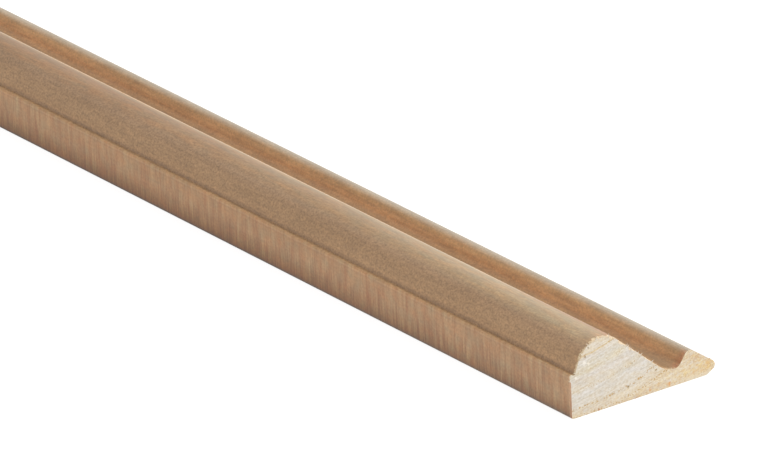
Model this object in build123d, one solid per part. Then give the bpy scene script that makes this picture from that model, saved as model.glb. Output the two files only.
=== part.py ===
from build123d import *
import os
from itertools import pairwise
from math import sqrt

# Base cap moulding: one length of solid wood, run to its section by a moulder's knives and sawn square.
# It lies flat on its back. +X runs along the length, +Y from the thick edge to the thin nose, +Z up.
# Sizes are in millimetres. The origin is on the back, at the middle of the length and of the width.

# The stock
LENGTH = 2438.4  # eight feet
WIDTH = 34.9  # seat edge to nose, one and three eighths of an inch
THICKNESS = 15.3  # back to the top of the roll

# The seat edge is the flat that sits on the baseboard's top. Both its arrises are lightly eased.
SEAT_HEIGHT = 9.1
BACK_ARRIS = 0.3
SEAT_ARRIS = 0.4
STEP = 0.9  # seat edge to the foot of the roll

# The roll is the big round at the top of the section.
ROLL_RADIUS = 6.0
ROLL_SET_BACK = 0.5  # step to the outermost point of the roll's circle, so the roll's foot flares out

# The cove is the long hollow that the face runs down into. It tightens to a quirk beside the bead.
COVE_FLOOR = 3.6  # wood left between the cove and the back
COVE_RADIUS = 5.2
QUIRK_RADIUS = 1.8
QUIRK_GAP = 0.5  # between the quirk's circle and the bead's, across the section

# The bead is the small round between the cove and the nose.
BEAD_TO_NOSE = 6.2
BEAD_HEIGHT = 6.45
BEAD_RADIUS = 1.3

# The nose is the thin front edge. Its underside lifts off the wall, and the toe eases it into the back.
NOSE_HEIGHT = 1.8  # middle of the nose's round above the back
NOSE_RADIUS = 1.1
TOE_TO_NOSE = 2.5
TOE_RADIUS = 1.5

SAME_POINT = 1e-6  # two ends nearer than this are one point


def round_at(across, height, radius=0.0):
    """A round edge as (centre, radius). With no radius it is a corner left sharp."""
    return Vector(across, height), radius


def crest(across, top, radius):
    """A round edge, placed by its highest point."""
    return round_at(across, top - radius, radius)


def hollow(across, bottom, radius):
    """A hollow, placed by its lowest point. Its radius is negative."""
    return round_at(across, bottom + radius, -radius)


def flat_between(first, second):
    """The two ends of the flat that touches a round and the next one, with the wood on its right."""
    (centre_a, radius_a), (centre_b, radius_b) = first, second
    span = centre_b - centre_a
    along = span.normalized()
    outward = Vector(-along.Y, along.X)
    lean = (radius_a - radius_b) / span.length
    normal = along * lean + outward * sqrt(max(0.0, 1 - lean * lean))
    return centre_a + normal * radius_a, centre_b + normal * radius_b


def face_of(rounds):
    """The face inside a ring of rounds: each round is an arc, and a flat joins it to the next one."""
    flats = [flat_between(first, second) for first, second in pairwise(rounds + rounds[:1])]
    edges = []
    for (centre, radius), (_, arrives), (leaves, ends) in zip(rounds, flats[-1:] + flats, flats):
        if radius:
            to_middle = ((arrives - centre) + (leaves - centre)).normalized() * abs(radius)
            edges.append(ThreePointArc(arrives, centre + to_middle, leaves))
        if (ends - leaves).length > SAME_POINT:
            edges.append(Line(leaves, ends))
    return make_face(Wire(edges))


# Crests and hollows across the section, measured from the seat edge. The roll keeps clear of the step, and
# the cove keeps clear of the bead, whatever their radii.
roll_top = STEP + ROLL_SET_BACK + ROLL_RADIUS
bead_top = WIDTH - BEAD_TO_NOSE
cove_bottom = bead_top - BEAD_RADIUS - QUIRK_GAP - QUIRK_RADIUS

# The section, from the back arris up the seat edge, over the face, round the nose and along the back.
# The cove and the quirk meet at their lowest point, so no flat lies between them.
section = face_of(
    [
        round_at(BACK_ARRIS, BACK_ARRIS, BACK_ARRIS),
        crest(SEAT_ARRIS, SEAT_HEIGHT, SEAT_ARRIS),
        round_at(STEP, SEAT_HEIGHT),
        crest(roll_top, THICKNESS, ROLL_RADIUS),
        hollow(cove_bottom, COVE_FLOOR, COVE_RADIUS),
        hollow(cove_bottom, COVE_FLOOR, QUIRK_RADIUS),
        crest(bead_top, BEAD_HEIGHT, BEAD_RADIUS),
        round_at(WIDTH - NOSE_RADIUS, NOSE_HEIGHT, NOSE_RADIUS),
        round_at(WIDTH - TOE_TO_NOSE, TOE_RADIUS, TOE_RADIUS),
    ]
)

moulding = extrude(Plane.YZ * Pos(-WIDTH / 2, 0) * section, LENGTH / 2, both=True)
moulding.label = "base_cap_moulding"

os.makedirs("parts", exist_ok=True)
export_step(moulding, "parts/base_cap_moulding.step")
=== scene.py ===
import bpy
import numpy as np
from math import ceil, radians, sqrt
from mathutils import Matrix, Vector


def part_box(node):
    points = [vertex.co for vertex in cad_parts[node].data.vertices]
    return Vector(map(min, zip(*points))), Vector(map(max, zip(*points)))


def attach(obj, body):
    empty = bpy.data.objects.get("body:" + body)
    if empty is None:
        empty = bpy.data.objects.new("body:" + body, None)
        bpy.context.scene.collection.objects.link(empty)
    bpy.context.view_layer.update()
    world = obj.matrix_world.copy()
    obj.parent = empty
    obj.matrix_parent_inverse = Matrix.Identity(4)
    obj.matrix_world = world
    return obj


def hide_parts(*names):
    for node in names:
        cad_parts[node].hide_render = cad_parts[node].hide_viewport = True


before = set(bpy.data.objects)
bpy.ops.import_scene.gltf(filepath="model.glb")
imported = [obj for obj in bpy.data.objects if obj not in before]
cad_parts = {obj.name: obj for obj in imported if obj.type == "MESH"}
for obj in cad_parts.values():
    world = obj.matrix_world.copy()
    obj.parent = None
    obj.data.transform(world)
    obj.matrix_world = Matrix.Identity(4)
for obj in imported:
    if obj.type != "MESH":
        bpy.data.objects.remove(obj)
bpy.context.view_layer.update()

# The camera stands two metres off the sawn end with a long lens, and looks down along the stick.
# It is placed so that the bottom corner of the seat edge falls on the same pixel as in the photograph.
AZIMUTH = radians(-35.0)
ELEVATION = radians(22.77)
ROLL = radians(-2.44)
DISTANCE = 2.158
SIGHT = 200.0  # the floor is drawn this far off
SENSOR_WIDTH = 36.0
PICTURE = Vector((783, 456))
FOCAL_PIXELS = 11132
CORNER_PIXEL = Vector((572.3, 419.5))

low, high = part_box("base_cap_moulding")
camera = bpy.data.objects.new("camera", bpy.data.cameras.new("camera"))
camera.data.sensor_width = SENSOR_WIDTH
camera.data.lens = SENSOR_WIDTH * FOCAL_PIXELS / PICTURE.x
camera.data.clip_end = SIGHT
aim = (
    Matrix.Rotation(AZIMUTH + radians(90), 3, "Z")
    @ Matrix.Rotation(radians(90) - ELEVATION, 3, "X")
    @ Matrix.Rotation(ROLL, 3, "Z")
)
seat_corner = Vector((high.x, low.y, low.z))
off_centre = (CORNER_PIXEL - PICTURE / 2) * DISTANCE / FOCAL_PIXELS
camera.matrix_world = Matrix.Translation(
    seat_corner + aim @ Vector((-off_centre.x, off_centre.y, DISTANCE))
) @ aim.to_4x4()
bpy.context.scene.collection.objects.link(camera)
bpy.context.scene.camera = camera


# The moulding is one length of light hardwood. A moulder's knives ran its section in one pass, and a coarse
# saw cut it off square. Every curve of the section is a crest or a hollow, and a flat joins it to the next.
# It lies on its back with its length along X, and its sizes and places are in metres.
MM = 0.001
LENGTH = high.x - low.x
WIDTH = high.y - low.y
THICKNESS = high.z - low.z
SEAT_HEIGHT = 9.1 * MM
BACK_ARRIS = 0.3 * MM
SEAT_ARRIS = 0.4 * MM
STEP = 0.9 * MM
ROLL_RADIUS = 6.0 * MM
ROLL_SET_BACK = 0.5 * MM
COVE_FLOOR = 3.6 * MM
COVE_RADIUS = 5.2 * MM
QUIRK_RADIUS = 1.8 * MM
QUIRK_GAP = 0.5 * MM
BEAD_TO_NOSE = 6.2 * MM
BEAD_HEIGHT = 6.45 * MM
BEAD_RADIUS = 1.3 * MM
NOSE_HEIGHT = 1.8 * MM
NOSE_RADIUS = 1.1 * MM
TOE_TO_NOSE = 2.5 * MM
TOE_RADIUS = 1.5 * MM

POINT_GAP = 0.2 * MM  # between two points of the section
POINT_TURN = radians(12)  # the most that a round turns between two points
SAME_PLACE = MM / 1000  # what lies nearer together than this is one place


def round_at(across, height, radius=0.0):
    """A round edge as (centre, radius). With no radius it is a corner left sharp."""
    return Vector((across, height)), radius


def crest(across, top, radius):
    """A round edge, placed by its highest point."""
    return round_at(across, top - radius, radius)


def hollow(across, bottom, radius):
    """A hollow, placed by its lowest point. Its radius is negative."""
    return round_at(across, bottom + radius, -radius)


def flat_between(first, second):
    """The two ends of the flat that touches a round and the next one, with the wood on its right."""
    (centre_a, radius_a), (centre_b, radius_b) = first, second
    span = centre_b - centre_a
    along = span.normalized()
    outward = Vector((-along.y, along.x))
    lean = (radius_a - radius_b) / span.length
    normal = along * lean + outward * sqrt(max(0.0, 1 - lean * lean))
    return centre_a + normal * radius_a, centre_b + normal * radius_b


def outline(rounds):
    """The points round the section, each with the way that points out of the wood there."""
    flats = [flat_between(first, second) for first, second in zip(rounds, rounds[1:] + rounds[:1])]
    points = []
    for (centre, radius), (_, arrives), (leaves, ends) in zip(rounds, flats[-1:] + flats, flats):
        if radius:
            turn = (arrives - centre).angle_signed(leaves - centre)
            steps = ceil(abs(turn) * max(abs(radius) / POINT_GAP, 1 / POINT_TURN))
            for step in range(steps):
                spoke = Matrix.Rotation(-turn * step / steps, 2) @ (arrives - centre)
                points.append((centre + spoke, spoke / radius))
        run = ends - leaves
        if run.length > SAME_PLACE:
            steps = ceil(run.length / POINT_GAP)
            outward = Vector((-run.y, run.x)).normalized()
            points += [(leaves + run * step / steps, outward) for step in range(steps)]
    return points


roll_top = STEP + ROLL_SET_BACK + ROLL_RADIUS
bead_top = WIDTH - BEAD_TO_NOSE
cove_bottom = bead_top - BEAD_RADIUS - QUIRK_GAP - QUIRK_RADIUS
section_points = outline(
    [
        round_at(BACK_ARRIS, BACK_ARRIS, BACK_ARRIS),
        crest(SEAT_ARRIS, SEAT_HEIGHT, SEAT_ARRIS),
        round_at(STEP, SEAT_HEIGHT),
        crest(roll_top, THICKNESS, ROLL_RADIUS),
        hollow(cove_bottom, COVE_FLOOR, COVE_RADIUS),
        hollow(cove_bottom, COVE_FLOOR, QUIRK_RADIUS),
        crest(bead_top, BEAD_HEIGHT, BEAD_RADIUS),
        round_at(WIDTH - NOSE_RADIUS, NOSE_HEIGHT, NOSE_RADIUS),
        round_at(WIDTH - TOE_TO_NOSE, TOE_RADIUS, TOE_RADIUS),
    ]
)
section_mesh = bpy.data.meshes.new("section")
section_mesh.from_pydata(
    [(0, low.y + point.x, low.z + point.y) for point, _ in section_points],
    [(number, (number + 1) % len(section_points)) for number in range(len(section_points))],
    [],
)
outward = section_mesh.attributes.new("outward", "FLOAT_VECTOR", "POINT")
outward.data.foreach_set("vector", [part for _, way in section_points for part in (0, way.x, way.y)])

# How badly the saw tore the arris, up to each place in millimetres across the face. Below nothing, it left a
# burr. The back is whole, and so is the seat edge below its top.
TEARS = ((0.4, -0.5), (2.0, 0.2), (8.5, 0.55), (15.0, 0.9), (21.0, 0.4), (25.0, 0.2), (40.0, 0.1))
TORN_DOWN = 1.3 * MM  # how far down the seat edge the tears reach
SQUARE_ON = 0.99  # how straight a face looks one way, to count as facing it


def tear_at(point, way):
    """How badly the saw tore the arris at one point of the section."""
    low_on_edge = way.x < -SQUARE_ON and point.y < SEAT_HEIGHT - TORN_DOWN
    if way.y < 0 or low_on_edge:
        return 0.0
    return next(tear for across, tear in TEARS if point.x < across * MM)


tears = section_mesh.attributes.new("tear", "FLOAT", "POINT")
tears.data.foreach_set("value", [tear_at(point, way) for point, way in section_points])
section = bpy.data.objects.new("section", section_mesh)
bpy.context.scene.collection.objects.link(section)


def linear(hex_colour):
    """An sRGB colour such as "#a08060", as the linear colour that a socket holds."""
    parts = [int(hex_colour[place : place + 2], 16) / 255 for place in (1, 3, 5)]
    return [part / 12.92 if part <= 0.04045 else ((part + 0.055) / 1.055) ** 2.4 for part in parts] + [1]


def add(tree, kind, feeds=None, stops=(), **settings):
    """Adds a node with its settings. Its inputs are fed by nodes, by their sockets or by plain values."""
    node = tree.nodes.new(kind)
    for name, value in settings.items():
        setattr(node, name, value)
    for socket, feed in (feeds or {}).items():
        if isinstance(feed, bpy.types.Node):
            feed = feed.outputs[0]
        if isinstance(feed, bpy.types.NodeSocket):
            tree.links.new(feed, node.inputs[socket])
        else:
            node.inputs[socket].default_value = feed
    if stops:
        marks = node.color_ramp.elements
        for mark, (place, colour) in zip(marks, (stops[0], stops[-1])):
            mark.position = place
            mark.color = linear(colour)
        for place, colour in stops[1:-1]:
            marks.new(place).color = linear(colour)
    return node


def new_material(name):
    """A material with its tree, its shader, and the place on the stick in millimetres: X from the middle of
    the length, Y across from the seat edge, Z up from the back."""
    material = bpy.data.materials.new(name)
    material.use_nodes = True
    tree = material.node_tree
    place = add(
        tree,
        "ShaderNodeMapping",
        {
            "Vector": add(tree, "ShaderNodeTexCoord").outputs["Object"],
            "Location": (0, WIDTH / 2 / MM, 0),
            "Scale": (1 / MM, 1 / MM, 1 / MM),
        },
    )
    return material, tree, tree.nodes["Principled BSDF"], place


NOISE_SPREAD = (0.3, 0.7)  # the lowest and the highest that a noise gets, bar a few specks


def marked(tree, wood, place, marks, areas):
    """The wood with layers of marks over it. Each mark is its size in millimetres along, across and up the
    stick, how much finer detail it holds, the area that it lies in, and the tints of its two extremes. A tint
    of #bcbcbc leaves the wood as it is."""
    for size, detail, area, dark, pale in marks:
        spread = add(tree, "ShaderNodeVectorMath", {0: place, 1: size}, operation="DIVIDE")
        noise = add(tree, "ShaderNodeTexNoise", {"Vector": spread, "Scale": 1.0, "Detail": detail})
        tint = add(tree, "ShaderNodeValToRGB", {0: noise}, stops=tuple(zip(NOISE_SPREAD, (dark, pale))))
        feeds = {0: areas[area], 6: wood, 7: tint}
        wood = add(tree, "ShaderNodeMix", feeds, data_type="RGBA", blend_type="OVERLAY").outputs[2]
    return wood


# Planed face of bare light hardwood, lightly sanded and darkened a little by air and hands. The eye gets a
# dull tan that turns orange in the hollow, short pores all over the roll, and the ripple of the knives on
# the seat edge.
planed, tree, shader, place = new_material("planed_hardwood")
parts = add(tree, "ShaderNodeSeparateXYZ", {0: place})
across = parts.outputs["Y"]
height = parts.outputs["Z"]
from_middle = add(tree, "ShaderNodeMath", {0: parts.outputs["X"]}, operation="ABSOLUTE")
from_cut = add(tree, "ShaderNodeMath", {0: LENGTH / 2 / MM, 1: from_middle}, operation="SUBTRACT")

# The colour of the wood at millimetres across the face, from the ledge over the roll and cove to the nose,
# with two painted highlights.
FACE_COLOURS = (
    (0.4, "#ae8a62"),  # ledge
    (1.0, "#a5805a"),
    (1.5, "#987753"),  # foot of the roll
    (3.9, "#917457"),
    (6.1, "#886948"),
    (8.4, "#816341"),  # crest of the roll
    (9.4, "#846a46"),
    # painted highlight: a pale line along the back of the crest of the roll
    (10.4, "#b19068"),
    (11.5, "#96714b"),  # slope
    (21.0, "#8f6e49"),
    (25.3, "#8a683f"),  # quirk
    (26.8, "#ba8d62"),
    (27.5, "#ba956a"),  # wall of the quirk
    # painted highlight: a greyish sheen along the crest of the bead, from 28.1 to 29.3 millimetres
    (28.1, "#aa957c"),
    (28.9, "#918573"),  # crest of the bead
    (29.3, "#877a68"),
    (29.9, "#8f7b5e"),
    (34.0, "#a88e69"),  # nose
)
face = add(
    tree,
    "ShaderNodeValToRGB",
    {0: add(tree, "ShaderNodeMath", {0: across, 1: WIDTH / MM}, operation="DIVIDE")},
    stops=[(mm * MM / WIDTH, colour) for mm, colour in FACE_COLOURS],
)
# The colour of the seat edge at millimetres above the back. It darkens towards the bottom with painted shade,
# and its bottom arris is almost black with a painted contact shadow.
EDGE_COLOURS = (
    (0.0, "#1b120a"),
    (0.35, "#573d26"),
    (0.8, "#744b22"),
    (1.8, "#815a30"),
    (4.8, "#9b754e"),
    (7.9, "#a07950"),
    (8.3, "#9a734b"),
    (8.6, "#a68057"),
)
edge = add(
    tree,
    "ShaderNodeValToRGB",
    {0: add(tree, "ShaderNodeMath", {0: height, 1: SEAT_HEIGHT / MM}, operation="DIVIDE")},
    stops=[(mm * MM / SEAT_HEIGHT, colour) for mm, colour in EDGE_COLOURS],
)

# The areas of the face that a mark or a tint lies in: where it begins, is full, starts to fade and ends, in
# millimetres across from the seat edge, and the share of it that is left beyond.
AREAS = {
    "seat edge": (-2.0, -1.0, 0.2, 0.45, 0.0),
    "face": (0.2, 0.45, 40.0, 41.0, 0.0),
    "roll": (0.2, 0.45, 3.5, 9.0, 0.15),
    "crest": (3.5, 5.5, 13.0, 18.0, 0.0),
    "shoulder of the roll": (4.0, 5.5, 8.8, 9.6, 0.0),
    "back of the roll": (8.6, 10.0, 13.0, 20.0, 0.0),
    "hollow": (10.5, 14.0, 27.4, 29.0, 0.4),
    "foot of the slope": (16.9, 17.1, 23.9, 24.1, 0.0),
    "quirk wall": (24.6, 25.6, 27.8, 28.6, 0.0),
}
areas = {"all": 1.0}
for area, (begins, full, fades, ends, left) in AREAS.items():
    start = add(tree, "ShaderNodeMapRange", {"Value": across, "From Min": begins, "From Max": full})
    feeds = {"Value": across, "From Min": ends, "From Max": fades, "To Min": left}
    fade = add(tree, "ShaderNodeMapRange", feeds)
    areas[area] = add(tree, "ShaderNodeMath", {0: start, 1: fade}, operation="MULTIPLY")
# Two more lie low on the seat edge. Theirs are millimetres above the back.
LOW_AREAS = {
    "foot of the seat edge": (1.0, 7.5, 0.4),
    # the bottom arris carries a painted contact shadow
    "bottom arris": (0.2, 1.2, 0.0),
}
for area, (fades, ends, left) in LOW_AREAS.items():
    feeds = {"Value": height, "From Min": ends, "From Max": fades, "To Min": left}
    fade = add(tree, "ShaderNodeMapRange", feeds)
    areas[area] = add(tree, "ShaderNodeMath", {0: areas["seat edge"], 1: fade}, operation="MULTIPLY")
wood = add(tree, "ShaderNodeMix", {0: areas["seat edge"], 6: face, 7: edge}, data_type="RGBA").outputs[2]

# Towards the cut the crest grows paler and greyer with painted light, the saw browned the shoulder and the
# back of the roll, the wall of the quirk grows darker and redder with burnish and painted shade, the bottom
# arris carries a painted contact shadow, the seat edge grows paler, and a thin strip of the seat edge at the
# cut and the foot of the slope are rubbed pale. Each tint is its reach in millimetres from the cut, its area,
# its colour and its strength at the cut.
CUT_TINTS = (
    # painted light: the crest grows paler and greyer towards the cut
    (150.0, "crest", "#9f8e70", 0.65),
    # burnish and painted shade: the wall of the quirk darkens and reddens towards the cut
    (14.0, "quirk wall", "#866d52", 0.35),
    (2.2, "quirk wall", "#aa6440", 0.55),
    (6.0, "shoulder of the roll", "#8f6138", 0.4),
    # painted contact shadow along the bottom arris
    (30.0, "bottom arris", "#2e2014", 0.55),
    (40.0, "back of the roll", "#8f6138", 0.9),
    (110.0, "seat edge", "#b59a7c", 0.17),
    (1.0, "seat edge", "#c99a78", 0.7),
    (1.3, "foot of the slope", "#c8ab88", 0.7),
)
for tint_reach, area, colour, strength in CUT_TINTS:
    feeds = {"Value": from_cut, "From Min": tint_reach, "From Max": 0.0, "To Max": strength}
    near = add(tree, "ShaderNodeMapRange", feeds)
    near = add(tree, "ShaderNodeMath", {0: near, 1: areas[area]}, operation="MULTIPLY")
    wood = add(tree, "ShaderNodeMix", {0: near, 6: wood, 7: linear(colour)}, data_type="RGBA").outputs[2]

# The pores are drawn as specks near half a millimetre wide, because their real width is too fine to show.
FACE_MARKS = (
    ((0.50, 0.40, 0.40), 3.0, "roll", "#a5a4a3", "#cfcfce"),  # short pores
    ((1.30, 0.80, 0.80), 1.0, "roll", "#b6b6b6", "#c2c1c0"),  # where they crowd
    ((9.00, 0.60, 0.60), 2.0, "face", "#b6b5b3", "#c1c1c0"),  # long fibres
    ((6.00, 1.20, 1.20), 1.0, "crest", "#b6babd", "#c4bcb3"),  # silvery and yellow flakes
    ((1.60, 0.35, 0.35), 1.0, "crest", "#b4b3b2", "#c4c5c6"),
    ((7.00, 0.55, 0.55), 2.0, "hollow", "#b5b1af", "#c3c4c4"),  # orange fibres in the hollow
    ((1.80, 0.70, 0.70), 1.0, "hollow", "#b5b6b7", "#c3c2c1"),
    ((0.45, 0.40, 0.40), 1.0, "hollow", "#afb0b0", "#c6c6c5"),
    ((10.0, 2.00, 2.00), 1.0, "hollow", "#b6b7b7", "#c3c2c2"),
    ((0.55, 0.55, 0.55), 1.0, "seat edge", "#b2b2b2", "#c4c4c4"),  # pores
    ((0.40, 6.00, 6.00), 1.0, "foot of the seat edge", "#aca19b", "#c9cdd1"),  # fine ripple of the knives
    ((1.40, 9.00, 9.00), 3.0, "seat edge", "#b0a49c", "#c5cdd2"),  # broad ripple of the knives
    ((3.10, 2.60, 2.60), 1.0, "seat edge", "#b5bcc0", "#c2bcb6"),  # silvery and pink patches
    ((33.0, 3.30, 3.30), 2.0, "all", "#b7b5b2", "#c1c1c2"),  # clouds of colour
    ((300.0, 40.0, 40.0), 0.0, "all", "#c0c0c0", "#b7b7b7"),  # slow drift along the stick
)
wood = marked(tree, wood, place, FACE_MARKS, areas)

# Dust and painted shade lie in the corner at the foot of the roll.
DUST_AND_SHADE_AT = (0.0, STEP / MM + 0.06, SEAT_HEIGHT / MM + 0.3)
DUST_AND_SHADE_REACH = (0.05, 0.9)  # millimetres from there where it starts to thin out, and where it ends
DUST_AND_SHADE_STRENGTH = 0.38
foot = add(tree, "ShaderNodeCombineXYZ", {"Y": across, "Z": height})
foot = add(tree, "ShaderNodeVectorMath", {0: foot, 1: DUST_AND_SHADE_AT}, operation="DISTANCE")
dust_and_shade = add(
    tree,
    "ShaderNodeMapRange",
    {
        "Value": foot.outputs["Value"],
        "From Min": DUST_AND_SHADE_REACH[0],
        "From Max": DUST_AND_SHADE_REACH[1],
        "To Min": DUST_AND_SHADE_STRENGTH,
        "To Max": 0.0,
    },
    interpolation_type="SMOOTHSTEP",
)
wood = add(tree, "ShaderNodeMix", {0: dust_and_shade, 6: wood, 7: linear("#4a3828")}, data_type="RGBA").outputs[2]

# Where the saw tore the arris, the fresh wood under the skin shows pale.
FRAYS_PER_MM = 1.8
FRAY_DEPTH = 0.2  # millimetres from the cut
FRAY_NOISE = (0.5, 0.7)  # where a fray starts, and where it is at its deepest
CHIP_SHOWS = (0.01, 0.05)  # the share of the deepest chip where one starts to show, and where it is all pale
torn = add(tree, "ShaderNodeAttribute", attribute_name="torn")
fray = add(
    tree,
    "ShaderNodeTexNoise",
    {"Vector": place, "Scale": FRAYS_PER_MM, "Detail": 3.0, "Roughness": 0.7},
)
fray_reach = add(
    tree,
    "ShaderNodeMapRange",
    {"Value": fray, "From Min": FRAY_NOISE[0], "From Max": FRAY_NOISE[1], "To Max": FRAY_DEPTH},
)
frayed = add(tree, "ShaderNodeMath", {0: from_cut, 1: fray_reach}, operation="LESS_THAN")
chipped = add(tree, "ShaderNodeMath", {0: fray, 1: torn.outputs["Fac"]}, operation="MULTIPLY")
chipped = add(
    tree,
    "ShaderNodeMapRange",
    {"Value": chipped, "From Min": CHIP_SHOWS[0], "From Max": CHIP_SHOWS[1]},
)
fresh = add(tree, "ShaderNodeMath", {0: frayed, 1: chipped}, operation="MAXIMUM")
wood = add(tree, "ShaderNodeMix", {0: fresh, 6: wood, 7: linear("#c8b18e")}, data_type="RGBA").outputs[2]
tree.links.new(wood, shader.inputs["Base Color"])
shader.inputs["Roughness"].default_value = 0.45
shader.inputs["IOR"].default_value = 1.5
relief = add(tree, "ShaderNodeBump", {"Height": wood, "Strength": 0.6, "Distance": 0.1 * MM})
tree.links.new(relief.outputs[0], shader.inputs["Normal"])

# Sawn end grain, fresh and dry. The eye gets a pale chalky cream with rows of open pores along the year
# rings, a yellower cast towards the nose, and fine slanting scratches left by the teeth of the saw.
sawn, tree, shader, place = new_material("sawn_end_grain")
RING_CURL = 0.0062  # how the rings curl up towards the nose, for each millimetre across
RING_FAN = 0.012  # how much steeper they lie with each millimetre of height
RING_LEVEL = 2.0  # millimetres above the back where the rings lie level at the seat edge
RING_WANDER = 0.9  # millimetres that a ring wanders up and down in all
WANDER_SIZE = (90, 4, 2.5)  # millimetres along, across and up from one bend of a ring to the next
parts = add(tree, "ShaderNodeSeparateXYZ", {0: place})
across = parts.outputs["Y"]
height = parts.outputs["Z"]

# How old the wood is at each place: it grows younger upwards, and less so towards the nose.
fan = add(
    tree,
    "ShaderNodeMath",
    {0: height, 1: RING_FAN, 2: -RING_FAN * RING_LEVEL},
    operation="MULTIPLY_ADD",
)
slope = add(tree, "ShaderNodeMath", {0: across, 1: RING_CURL, 2: fan}, operation="MULTIPLY_ADD")
rise = add(tree, "ShaderNodeMath", {0: slope, 1: across}, operation="MULTIPLY")
level = add(tree, "ShaderNodeMath", {0: height, 1: rise}, operation="SUBTRACT")
wander = add(tree, "ShaderNodeVectorMath", {0: place, 1: WANDER_SIZE}, operation="DIVIDE")
wander = add(tree, "ShaderNodeTexNoise", {"Vector": wander, "Scale": 1.0, "Detail": 2.0})
lowest = add(tree, "ShaderNodeMath", {0: level, 1: RING_WANDER / 2}, operation="SUBTRACT")
ring = add(tree, "ShaderNodeMath", {0: wander, 1: RING_WANDER, 2: lowest}, operation="MULTIPLY_ADD")

OLDEST, YOUNGEST = -6.0, 13.0  # the wood on the end, in millimetres of growth
age = add(tree, "ShaderNodeMapRange", {"Value": ring, "From Min": OLDEST, "From Max": YOUNGEST})


def by_age(stops):
    """Stops in millimetres of growth, as places along a ramp over the whole of the end."""
    return [((mm - OLDEST) / (YOUNGEST - OLDEST), colour) for mm, colour in stops]


END_COLOURS = (
    (-6.0, "#d3c1a2"),  # under the tip of the nose
    (-4.8, "#d7c09a"),  # the most orange wood
    (-3.6, "#d5c4aa"),
    (0.4, "#d6c9b5"),
    (2.4, "#d3cabc"),  # greyer above the main row of pores
    (4.6, "#d3ccc2"),
    (5.4, "#d5cbbb"),  # a yellow ring
    (7.8, "#d1c9bf"),
    (8.8, "#d4cab6"),  # a yellow ring
    (10.4, "#d4cdc2"),
    (11.7, "#d6ccbe"),
    (11.82, "#cfba96"),  # a thin dark ring under the crest
    (11.98, "#cfba96"),
    (12.1, "#d6cab7"),
)
wood = add(tree, "ShaderNodeValToRGB", {0: age}, stops=by_age(END_COLOURS)).outputs[0]

# The teeth of the saw left scratches that slant up towards the nose, two or three to the millimetre.
SAW_SLANT = radians(11)
turned = add(
    tree, "ShaderNodeVectorRotate", {"Vector": place, "Angle": -SAW_SLANT}, rotation_type="X_AXIS"
)
END_MARKS = (
    ((1.0, 10.0, 0.32), 1.0, "all", "#afb0b0", "#c7c6c6"),  # scratches
    ((0.36, 0.55, 0.30), 1.0, "all", "#aeacab", "#c8c8c8"),  # torn fibres
    ((1.5, 2.40, 0.80), 1.0, "all", "#c0bcb6", "#babcbe"),  # yellow and grey blotches
    ((1.0, 0.90, 0.60), 1.0, "old", "#c1b29c", "#b9bcc1"),  # orange mottling of the oldest wood
)
OLD_WOOD = (2.6, -3.0)  # millimetres of growth where the mottling starts and is full
old = add(tree, "ShaderNodeMapRange", {"Value": ring, "From Min": OLD_WOOD[0], "From Max": OLD_WOOD[1]})
wood = marked(tree, wood, turned, END_MARKS, {"all": 1.0, "old": old})

# The underside of the nose is paler, because it dried out first.
PALE_FROM = (20.0, 29.0)  # millimetres across where it starts and is full
PALE_BELOW = (1.6, 0.4)  # millimetres above the back where it starts and is full
PALE_STRENGTH = 0.7
to_nose = add(
    tree, "ShaderNodeMapRange", {"Value": across, "From Min": PALE_FROM[0], "From Max": PALE_FROM[1]}
)
to_back = add(
    tree,
    "ShaderNodeMapRange",
    {"Value": height, "From Min": PALE_BELOW[0], "From Max": PALE_BELOW[1], "To Max": PALE_STRENGTH},
)
under_nose = add(tree, "ShaderNodeMath", {0: to_nose, 1: to_back}, operation="MULTIPLY")
wood = add(tree, "ShaderNodeMix", {0: under_nose, 6: wood, 7: linear("#e0d5bf")}, data_type="RGBA").outputs[2]

# Open pores crowd into rows along the year rings, and are strewn thinly between them. A paler grey is a more
# crowded row. They are drawn up to half a millimetre wide, because their real width is too fine to show.
PORE_ROWS = (
    (-6.0, "#b4b4b4"),
    (-0.4, "#a0a0a0"),
    (-0.15, "#e4e4e4"),
    (0.25, "#e4e4e4"),
    (0.5, "#8c8c8c"),
    (1.6, "#8c8c8c"),
    (1.75, "#f4f4f4"),
    (2.1, "#f4f4f4"),
    (2.3, "#505050"),
    (4.8, "#606060"),
    (5.1, "#bcbcbc"),
    (5.8, "#bcbcbc"),
    (6.1, "#505050"),
    (8.5, "#606060"),
    (8.8, "#b8b8b8"),
    (9.3, "#b0b0b0"),
    (9.6, "#505050"),
    (11.7, "#707070"),
    (11.8, "#d8d8d8"),
    (12.0, "#d8d8d8"),
    (12.2, "#606060"),
)
PORE_GAPS = (0.6, 0.38, 1.0)  # millimetres from one pore to the next, along the rings and across them
PORE_REACH = (0.16, 0.62)  # of the smallest and the largest pore from its middle, as a share of that gap
PORE_SOFTNESS = 0.14  # of a pore's rim, as a share of the gap
PORE_STRENGTH = 0.8
crowding = add(tree, "ShaderNodeValToRGB", {0: age}, stops=by_age(PORE_ROWS))
parts = add(tree, "ShaderNodeSeparateXYZ", {0: turned})
on_end = add(tree, "ShaderNodeCombineXYZ", {"X": parts.outputs["Y"], "Y": parts.outputs["Z"]})
on_end = add(tree, "ShaderNodeVectorMath", {0: on_end, 1: PORE_GAPS}, operation="DIVIDE")
cells = add(tree, "ShaderNodeTexVoronoi", {"Vector": on_end, "Scale": 1.0}, voronoi_dimensions="2D")
chance = add(tree, "ShaderNodeSeparateColor", {0: cells.outputs["Color"]})
pore_reach = add(
    tree, "ShaderNodeMapRange", {"Value": chance, "To Min": PORE_REACH[0], "To Max": PORE_REACH[1]}
)
pore_reach = add(tree, "ShaderNodeMath", {0: crowding, 1: pore_reach}, operation="MULTIPLY")
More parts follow.
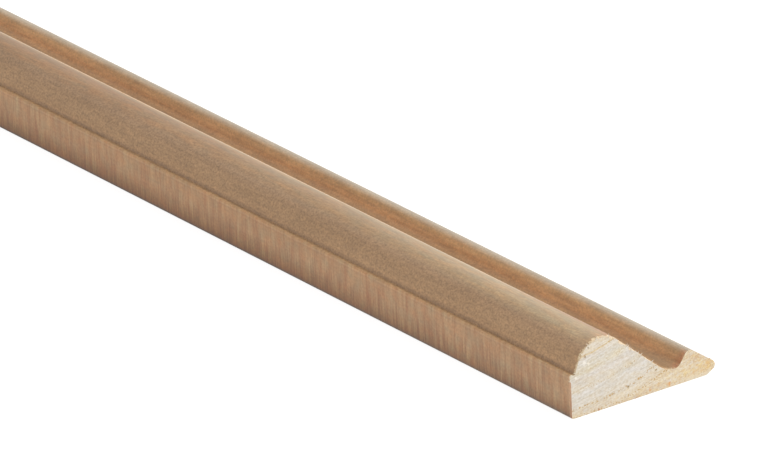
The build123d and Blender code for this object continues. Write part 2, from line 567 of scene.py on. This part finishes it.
pore = add(tree, "ShaderNodeMath", {0: pore_reach, 1: cells.outputs["Distance"]}, operation="SUBTRACT")
pore = add(
    tree, "ShaderNodeMapRange", {"Value": pore, "From Max": PORE_SOFTNESS, "To Max": PORE_STRENGTH}
)
wood = add(tree, "ShaderNodeMix", {0: pore, 6: wood, 7: linear("#bc9454")}, data_type="RGBA").outputs[2]

# Single flaws in the end grain: millimetres across and up, radius, and colour. A noise makes them uneven.
FLAWS = (
    (13.75, 3.1, 0.42, "#8f7440"),
    (20.6, 4.6, 0.28, "#a08148"),
    (14.9, 7.6, 0.25, "#9a8050"),
    (3.5, 12.2, 0.30, "#97764c"),
    (4.5, 13.8, 0.32, "#8c7452"),
    (3.3, 10.9, 0.60, "#eee6da"),
    (4.3, 10.6, 0.35, "#eee4d2"),
    (1.2, 8.4, 0.45, "#eee6da"),
    (6.6, 0.1, 0.45, "#b3743f"),
    (15.3, 0.1, 0.30, "#b57a48"),
    (19.0, 0.9, 0.45, "#d59a58"),
    (23.7, 0.8, 0.50, "#d89a5c"),
)
BUMPS_PER_MM = 3.0
FLAW_UNEVEN = 1.1  # millimetres between the lowest and the highest that a rim could lie
FLAW_CORE = 0.3  # the share of a flaw's radius that has its full colour
FLAW_STRENGTH = 0.8
uneven = add(tree, "ShaderNodeTexNoise", {"Vector": place, "Scale": BUMPS_PER_MM})
uneven = add(
    tree, "ShaderNodeMath", {0: uneven, 1: FLAW_UNEVEN, 2: -FLAW_UNEVEN / 2}, operation="MULTIPLY_ADD"
)
on_end = add(tree, "ShaderNodeVectorMath", {0: place, 1: (0, 1, 1)}, operation="MULTIPLY")
for flaw_across, flaw_height, radius, colour in FLAWS:
    middle = (0, flaw_across, flaw_height)
    away = add(tree, "ShaderNodeVectorMath", {0: on_end, 1: middle}, operation="DISTANCE")
    away = add(tree, "ShaderNodeMath", {0: away.outputs["Value"], 1: uneven}, operation="ADD")
    feeds = {"Value": away, "From Min": radius, "From Max": radius * FLAW_CORE, "To Max": FLAW_STRENGTH}
    flaw = add(tree, "ShaderNodeMapRange", feeds)
    wood = add(tree, "ShaderNodeMix", {0: flaw, 6: wood, 7: linear(colour)}, data_type="RGBA").outputs[2]
tree.links.new(wood, shader.inputs["Base Color"])
shader.inputs["Roughness"].default_value = 0.8
relief = add(tree, "ShaderNodeBump", {"Height": wood, "Strength": 0.6, "Distance": 0.3 * MM})
tree.links.new(relief.outputs[0], shader.inputs["Normal"])


# The sweep runs the section along the stick, as the knives did, and then breaks chips and splinters out of
# the arris at both sawn ends, as the saw did.
def new_input(tree, name, kind):
    """A named input of a geometry tree, as the identifier that a modifier knows it by."""
    return tree.interface.new_socket(name=name, in_out="INPUT", socket_type="NodeSocket" + kind).identifier


SAWN_RINGS = 10  # rings of points in the sawn zone at each end
STEPS_BETWEEN = 80
RUN_SIZES = {
    "Section": ("Object", section),
    "Length": ("Float", LENGTH),
    "Sawn zone": ("Float", 1.6 * MM),
    "Rings in sawn zone": ("Int", SAWN_RINGS),
    "Steps between": ("Int", STEPS_BETWEEN),
    "Chip depth": ("Float", 0.6 * MM),
    "Chip slope": ("Float", 0.55),
    "Chip width": ("Float", 0.9 * MM),
    "Splinter length": ("Float", 0.9 * MM),
    "Splinter radius": ("Float", 0.12 * MM),
    "Splinters": ("Float", 0.3),
    "Seed": ("Int", 5),
    "Planed face": ("Material", planed),
    "Sawn end": ("Material", sawn),
}
run = bpy.data.node_groups.new("run_moulding", "GeometryNodeTree")
run.interface.new_socket(name="Geometry", in_out="OUTPUT", socket_type="NodeSocketGeometry")
run_inputs = {name: new_input(run, name, kind) for name, (kind, _) in RUN_SIZES.items()}
given = add(run, "NodeGroupInput").outputs
number = add(run, "GeometryNodeInputIndex")
position = add(run, "GeometryNodeInputPosition")

# Stations along the stick: closer and closer together towards each saw cut, and evenly spaced between.
last = add(
    run,
    "ShaderNodeMath",
    {0: given["Rings in sawn zone"], 1: 2.0, 2: given["Steps between"]},
    operation="MULTIPLY_ADD",
)
count = add(run, "ShaderNodeMath", {0: last, 1: 1.0}, operation="ADD")
to_last = add(run, "ShaderNodeMath", {0: last, 1: number}, operation="SUBTRACT")
nearest = add(run, "ShaderNodeMath", {0: number, 1: to_last}, operation="MINIMUM")
share = add(run, "ShaderNodeMath", {0: nearest, 1: given["Rings in sawn zone"]}, operation="DIVIDE")
share = add(run, "ShaderNodeMath", {0: share, 1: 1.0}, operation="MINIMUM")
squared = add(run, "ShaderNodeMath", {0: share, 1: share}, operation="MULTIPLY")
in_zone = add(run, "ShaderNodeMath", {0: squared, 1: given["Sawn zone"]}, operation="MULTIPLY")
past = add(run, "ShaderNodeMath", {0: nearest, 1: given["Rings in sawn zone"]}, operation="SUBTRACT")
past = add(run, "ShaderNodeMath", {0: past, 1: 0.0}, operation="MAXIMUM")
clear = add(
    run,
    "ShaderNodeMath",
    {0: given["Sawn zone"], 1: -2.0, 2: given["Length"]},
    operation="MULTIPLY_ADD",
)
step = add(run, "ShaderNodeMath", {0: clear, 1: given["Steps between"]}, operation="DIVIDE")
from_cut = add(run, "ShaderNodeMath", {0: past, 1: step, 2: in_zone}, operation="MULTIPLY_ADD")
half = add(run, "ShaderNodeMath", {0: given["Length"], 1: 2.0}, operation="DIVIDE")
from_middle = add(run, "ShaderNodeMath", {0: half, 1: from_cut}, operation="SUBTRACT")
side = add(run, "ShaderNodeMath", {0: number, 1: to_last}, operation="SUBTRACT")
side = add(run, "ShaderNodeMath", {0: side}, operation="SIGN")
along = add(run, "ShaderNodeMath", {0: from_middle, 1: side}, operation="MULTIPLY")
path = add(run, "GeometryNodeMeshLine", {"Count": count})
along = add(run, "ShaderNodeCombineXYZ", {"X": along})
path = add(run, "GeometryNodeSetPosition", {"Geometry": path, "Position": along})
shape = add(run, "GeometryNodeObjectInfo", {"Object": given["Section"]}).outputs["Geometry"]

# Each point keeps the number of its station and of its place round the section, and both of its positions.
ON_PATH = (
    ("station", "INT", number),
    ("from_cut", "FLOAT", from_cut),
    ("along", "FLOAT_VECTOR", position),
)
ON_SHAPE = (
    ("round", "INT", number),
    ("shape", "FLOAT_VECTOR", position),
)
for name, kind, value in ON_PATH:
    feeds = {"Geometry": path, "Name": name, "Value": value}
    path = add(run, "GeometryNodeStoreNamedAttribute", feeds, data_type=kind)
for name, kind, value in ON_SHAPE:
    feeds = {"Geometry": shape, "Name": name, "Value": value}
    shape = add(run, "GeometryNodeStoreNamedAttribute", feeds, data_type=kind)
stick = add(
    run,
    "GeometryNodeCurveToMesh",
    {
        "Curve": add(run, "GeometryNodeMeshToCurve", {"Mesh": path}),
        "Profile Curve": add(run, "GeometryNodeMeshToCurve", {"Mesh": shape}),
        "Fill Caps": True,
    },
)
# The section runs clockwise, which turns the sweep inside out, so its faces are turned back.
stick = add(run, "GeometryNodeFlipFaces", {"Mesh": stick})
READ_BACK = {
    "station": "INT",
    "from_cut": "FLOAT",
    "along": "FLOAT_VECTOR",
    "shape": "FLOAT_VECTOR",
    "outward": "FLOAT_VECTOR",
    "tear": "FLOAT",
}
kept = {
    name: add(run, "GeometryNodeInputNamedAttribute", {"Name": name}, data_type=kind)
    for name, kind in READ_BACK.items()
}
# Each point goes exactly to its station along the stick and its place in the section.
placed = add(run, "ShaderNodeVectorMath", {0: kept["along"], 1: kept["shape"]}, operation="ADD")

# The saw broke chips out of the arris. A chip is deepest at the cut and runs out along the stick.
CHIP_NOISE = (0.34, 0.62)  # where a chip starts, and where it is at its deepest
chips_per_metre = add(run, "ShaderNodeMath", {0: 1.0, 1: given["Chip width"]}, operation="DIVIDE")
chip = add(run, "ShaderNodeVectorMath", {0: placed, "Scale": chips_per_metre}, operation="SCALE")
chip = add(
    run,
    "ShaderNodeTexNoise",
    {"Vector": chip, "Scale": 1.0, "Detail": 3.0, "Roughness": 0.65},
)
chip = add(
    run,
    "ShaderNodeMapRange",
    {"Value": chip, "From Min": CHIP_NOISE[0], "From Max": CHIP_NOISE[1], "To Max": given["Chip depth"]},
)
run_out = add(run, "ShaderNodeMath", {0: kept["from_cut"], 1: given["Chip slope"]}, operation="MULTIPLY")
chip = add(run, "ShaderNodeMath", {0: chip, 1: run_out}, operation="SUBTRACT")
chip = add(run, "ShaderNodeMath", {0: chip, 1: 0.0}, operation="MAXIMUM")
chip = add(run, "ShaderNodeMath", {0: chip, 1: kept["tear"]}, operation="MULTIPLY")
inward = add(run, "ShaderNodeMath", {0: chip, 1: -1.0}, operation="MULTIPLY")
inward = add(run, "ShaderNodeVectorMath", {0: kept["outward"], "Scale": inward}, operation="SCALE")
stick = add(run, "GeometryNodeSetPosition", {"Geometry": stick, "Position": placed, "Offset": inward})
torn = add(run, "ShaderNodeMath", {0: chip}, operation="ABSOLUTE")
torn = add(run, "ShaderNodeMath", {0: torn, 1: given["Chip depth"]}, operation="DIVIDE")
stick = add(
    run,
    "GeometryNodeStoreNamedAttribute",
    {"Geometry": stick, "Name": "torn", "Value": torn},
    data_type="FLOAT",
)

# Splinters stand out of the torn arris, more of them where it tore worst. Each is a thin cone that points out
# of the wood, and leans a little its own way.
SPLINTER_SIDES = 5
SPLINTER_LEAN = Vector((0.6, 0.5, 0.5))  # the most that one leans along, across and up
SPLINTER_SIZES = ((0.5, 0.5, 0.3), (1.2, 1.2, 1.0))  # the smallest and the largest, beside the given size
ON_SPLINTER = -1  # its station, because it has none on the stick
splinter = add(
    run,
    "GeometryNodeMeshCone",
    {
        "Vertices": SPLINTER_SIDES,
        "Radius Bottom": given["Splinter radius"],
        "Depth": given["Splinter length"],
    },
)
splinter = add(
    run,
    "GeometryNodeStoreNamedAttribute",
    {"Geometry": splinter, "Name": "station", "Value": ON_SPLINTER},
    data_type="INT",
)
at_cut = add(
    run,
    "FunctionNodeCompare",
    {"A": kept["from_cut"], "B": 0.0, "Epsilon": SAME_PLACE},
    operation="EQUAL",
)
crowd = add(run, "ShaderNodeMath", {0: given["Splinters"], 1: kept["tear"]}, operation="MULTIPLY")
picked = add(
    run,
    "FunctionNodeRandomValue",
    {"Probability": crowd, "Seed": given["Seed"]},
    data_type="BOOLEAN",
)
picked = add(run, "FunctionNodeBooleanMath", {0: at_cut, 1: picked.outputs[3]}, operation="AND")
jitter = add(
    run,
    "FunctionNodeRandomValue",
    {0: -SPLINTER_LEAN, 1: SPLINTER_LEAN, "Seed": given["Seed"]},
    data_type="FLOAT_VECTOR",
)
size = add(
    run,
    "FunctionNodeRandomValue",
    {0: SPLINTER_SIZES[0], 1: SPLINTER_SIZES[1], "Seed": given["Seed"]},
    data_type="FLOAT_VECTOR",
)
lean = add(run, "ShaderNodeVectorMath", {0: kept["outward"], 1: jitter}, operation="ADD")
splinters = add(
    run,
    "GeometryNodeInstanceOnPoints",
    {
        "Points": stick,
        "Selection": picked,
        "Instance": splinter,
        "Rotation": add(run, "FunctionNodeAlignRotationToVector", {"Vector": lean}, axis="Z"),
        "Scale": size,
    },
)
joined = add(run, "GeometryNodeJoinGeometry", {0: stick})
run.links.new(splinters.outputs[0], joined.inputs[0])
stick = add(run, "GeometryNodeRealizeInstances", {"Geometry": joined})

# The planed finish goes all over, and then the sawn one on both ends and on the splinters.
stick = add(run, "GeometryNodeSetMaterial", {"Geometry": stick, "Material": given["Planed face"]})
facing = add(run, "ShaderNodeSeparateXYZ", {0: add(run, "GeometryNodeInputNormal")})
endwise = add(run, "ShaderNodeMath", {0: facing.outputs["X"]}, operation="ABSOLUTE")
endwise = add(run, "ShaderNodeMath", {0: endwise, 1: SQUARE_ON}, operation="GREATER_THAN")
is_splinter = add(run, "ShaderNodeMath", {0: kept["station"], 1: 0.0}, operation="LESS_THAN")
sawn_part = add(run, "ShaderNodeMath", {0: endwise, 1: is_splinter}, operation="MAXIMUM")
stick = add(
    run,
    "GeometryNodeSetMaterial",
    {"Geometry": stick, "Selection": sawn_part, "Material": given["Sawn end"]},
)
add(run, "NodeGroupOutput", {"Geometry": stick})

moulding = bpy.data.objects.new("base_cap_moulding_run", bpy.data.meshes.new("base_cap_moulding_run"))
bpy.context.scene.collection.objects.link(moulding)
modifier = moulding.modifiers.new("run", "NODES")
modifier.node_group = run
for name, (_, size) in RUN_SIZES.items():
    modifier[run_inputs[name]] = size
bpy.context.view_layer.update()
shaped = moulding.evaluated_get(bpy.context.evaluated_depsgraph_get())
mesh = bpy.data.meshes.new_from_object(shaped)
moulding.modifiers.remove(modifier)
moulding.data = mesh
bpy.data.objects.remove(section)
mesh.polygons.foreach_set("use_smooth", [True] * len(mesh.polygons))
mesh.set_sharp_from_angle(angle=radians(30))

# The map that the finish is baked on, in pixels. The length is cut into strips that lie one above the other.
# The strip next to the near end, which is seen close up, gets most of the map, and the back gets less of
# each strip.
MAP_SIZE = 1024
MAP_MARGIN = 12
STRIPS = (  # the station where each one begins, its bottom and its height
    (0, 12, 106),
    (28, 126, 106),
    (46, 240, 106),
    (64, 354, 106),
    (83, 468, 408),
)
BACK_SHARE = 0.35  # how closely the back is mapped, as a share of the face's closeness
BACK_FACING = 0.9  # how straight a part of the section looks down, to count as the back
NEAR_END_AT = (12, 888)  # lower left corner
NEAR_END_PIXEL = 0.13  # millimetres of the sawn end on one pixel
FAR_END_AT = (330, 888)
FAR_END_PIXEL = 0.2
SPLINTERS_AT = (560, 940)  # middle
SPLINTERS_ROUND = 8  # radius
gaps = [
    (end - begin).length * (BACK_SHARE if way.y < -BACK_FACING else 1.0)
    for (begin, way), (end, _) in zip(section_points, section_points[1:] + section_points[:1])
]
reach = np.concatenate([[0], np.cumsum(gaps)]) / sum(gaps)

# What is known of each corner of each face: its place, its numbers, and the lowest and highest of its face.
corner = np.empty(len(mesh.loops), np.int32)
mesh.loops.foreach_get("vertex_index", corner)
starts = np.empty(len(mesh.polygons), np.int32)
mesh.polygons.foreach_get("loop_start", starts)
sides = np.diff(np.append(starts, len(corner)))
numbers = {}
for name in ("station", "round"):
    values = np.empty(len(mesh.vertices), np.int32)
    mesh.attributes[name].data.foreach_get("value", values)
    numbers[name] = values[corner]
places = np.empty(3 * len(mesh.vertices))
mesh.vertices.foreach_get("co", places)
x, y, z = places.reshape(-1, 3)[corner].T / MM
first = np.repeat(np.minimum.reduceat(numbers["station"], starts), sides)
final = np.repeat(np.maximum.reduceat(numbers["station"], starts), sides)
widest = np.repeat(np.maximum.reduceat(numbers["round"], starts), sides)

# A face that closes the ring of the section ends at the top of its strip, and not back at the bottom.
closes_ring = (numbers["round"] == 0) & (widest == len(gaps) - 1)
turn = numbers["round"] + len(gaps) * closes_ring
end_station = 2 * SAWN_RINGS + STEPS_BETWEEN
on_stick = numbers["station"] >= 0
station_x = np.zeros(end_station + 1)
station_x[numbers["station"][on_stick]] = x[on_stick]
u, v = np.zeros(len(corner)), np.zeros(len(corner))
borders = [strip[0] for strip in STRIPS] + [end_station]
for (begin, bottom, tall), end in zip(STRIPS, borders[1:]):
    here = (first >= begin) & (first < end) & (final > first)
    share = (x[here] - station_x[begin]) / (station_x[end] - station_x[begin])
    u[here] = MAP_MARGIN + (MAP_SIZE - 2 * MAP_MARGIN) * share
    v[here] = bottom + tall * reach[turn[here]]
for at, (left, bottom), pixel in (
    (end_station, NEAR_END_AT, NEAR_END_PIXEL),
    (0, FAR_END_AT, FAR_END_PIXEL),
):
    here = (first == at) & (final == at)
    u[here] = left + (y[here] - low.y / MM) / pixel
    v[here] = bottom + (z[here] - low.z / MM) / pixel
corner_number = np.arange(len(corner)) - np.repeat(starts, sides)
around = 2 * np.pi * corner_number / np.repeat(sides, sides)
loose = first == ON_SPLINTER
u[loose] = SPLINTERS_AT[0] + SPLINTERS_ROUND * np.cos(around[loose])
v[loose] = SPLINTERS_AT[1] + SPLINTERS_ROUND * np.sin(around[loose])
bake_map = mesh.uv_layers.new(name="OFBake")
bake_map.data.foreach_set("uv", np.stack([u, v], 1).ravel() / MAP_SIZE)
for name in ("station", "round", "from_cut", "along", "shape", "outward", "tear"):
    mesh.attributes.remove(mesh.attributes[name])

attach(moulding, "root")
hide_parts("base_cap_moulding")

# The floor is a pale sheet of matt paper that reaches past every view. It glows a little, so the stick throws
# almost no shadow on it.
FLOOR_REACH = 150.0
PAPER_GLOW = 0.85
floor_mesh = bpy.data.meshes.new("floor")
floor_mesh.from_pydata(
    [(x * FLOOR_REACH, y * FLOOR_REACH, low.z) for x, y in ((-1, -1), (1, -1), (1, 1), (-1, 1))],
    [],
    [(0, 1, 2, 3)],
)
floor = bpy.data.objects.new("floor", floor_mesh)
bpy.context.scene.collection.objects.link(floor)
paper = bpy.data.materials.new("pale_paper")
paper.use_nodes = True
shader = paper.node_tree.nodes["Principled BSDF"]
shader.inputs["Base Color"].default_value = linear("#898989")
shader.inputs["Roughness"].default_value = 1.0
shader.inputs["Specular IOR Level"].default_value = 0.0
shader.inputs["Emission Color"].default_value = linear("#ffffff")
shader.inputs["Emission Strength"].default_value = PAPER_GLOW
floor_mesh.materials.append(paper)

# Soft light comes evenly from all round. A broad key light from above and behind brightens the crest of
# the roll and the far side of the cove.
ROUND_LIGHT = 0.9
KEY_LIGHT = 2.6
KEY_SPREAD = radians(70)
KEY_FROM = Vector((-0.1, 0.7, 0.68))
world = bpy.data.worlds.new("studio")
world.use_nodes = True
world.node_tree.nodes["Background"].inputs["Color"].default_value = linear("#ffffff")
world.node_tree.nodes["Background"].inputs["Strength"].default_value = ROUND_LIGHT
bpy.context.scene.world = world
key = bpy.data.objects.new("key", bpy.data.lights.new("key", "SUN"))
key.data.energy = KEY_LIGHT
key.data.angle = KEY_SPREAD
key.rotation_euler = KEY_FROM.to_track_quat("Z", "Y").to_euler()
bpy.context.scene.collection.objects.link(key)
bpy.context.scene.view_settings.view_transform = "Standard"
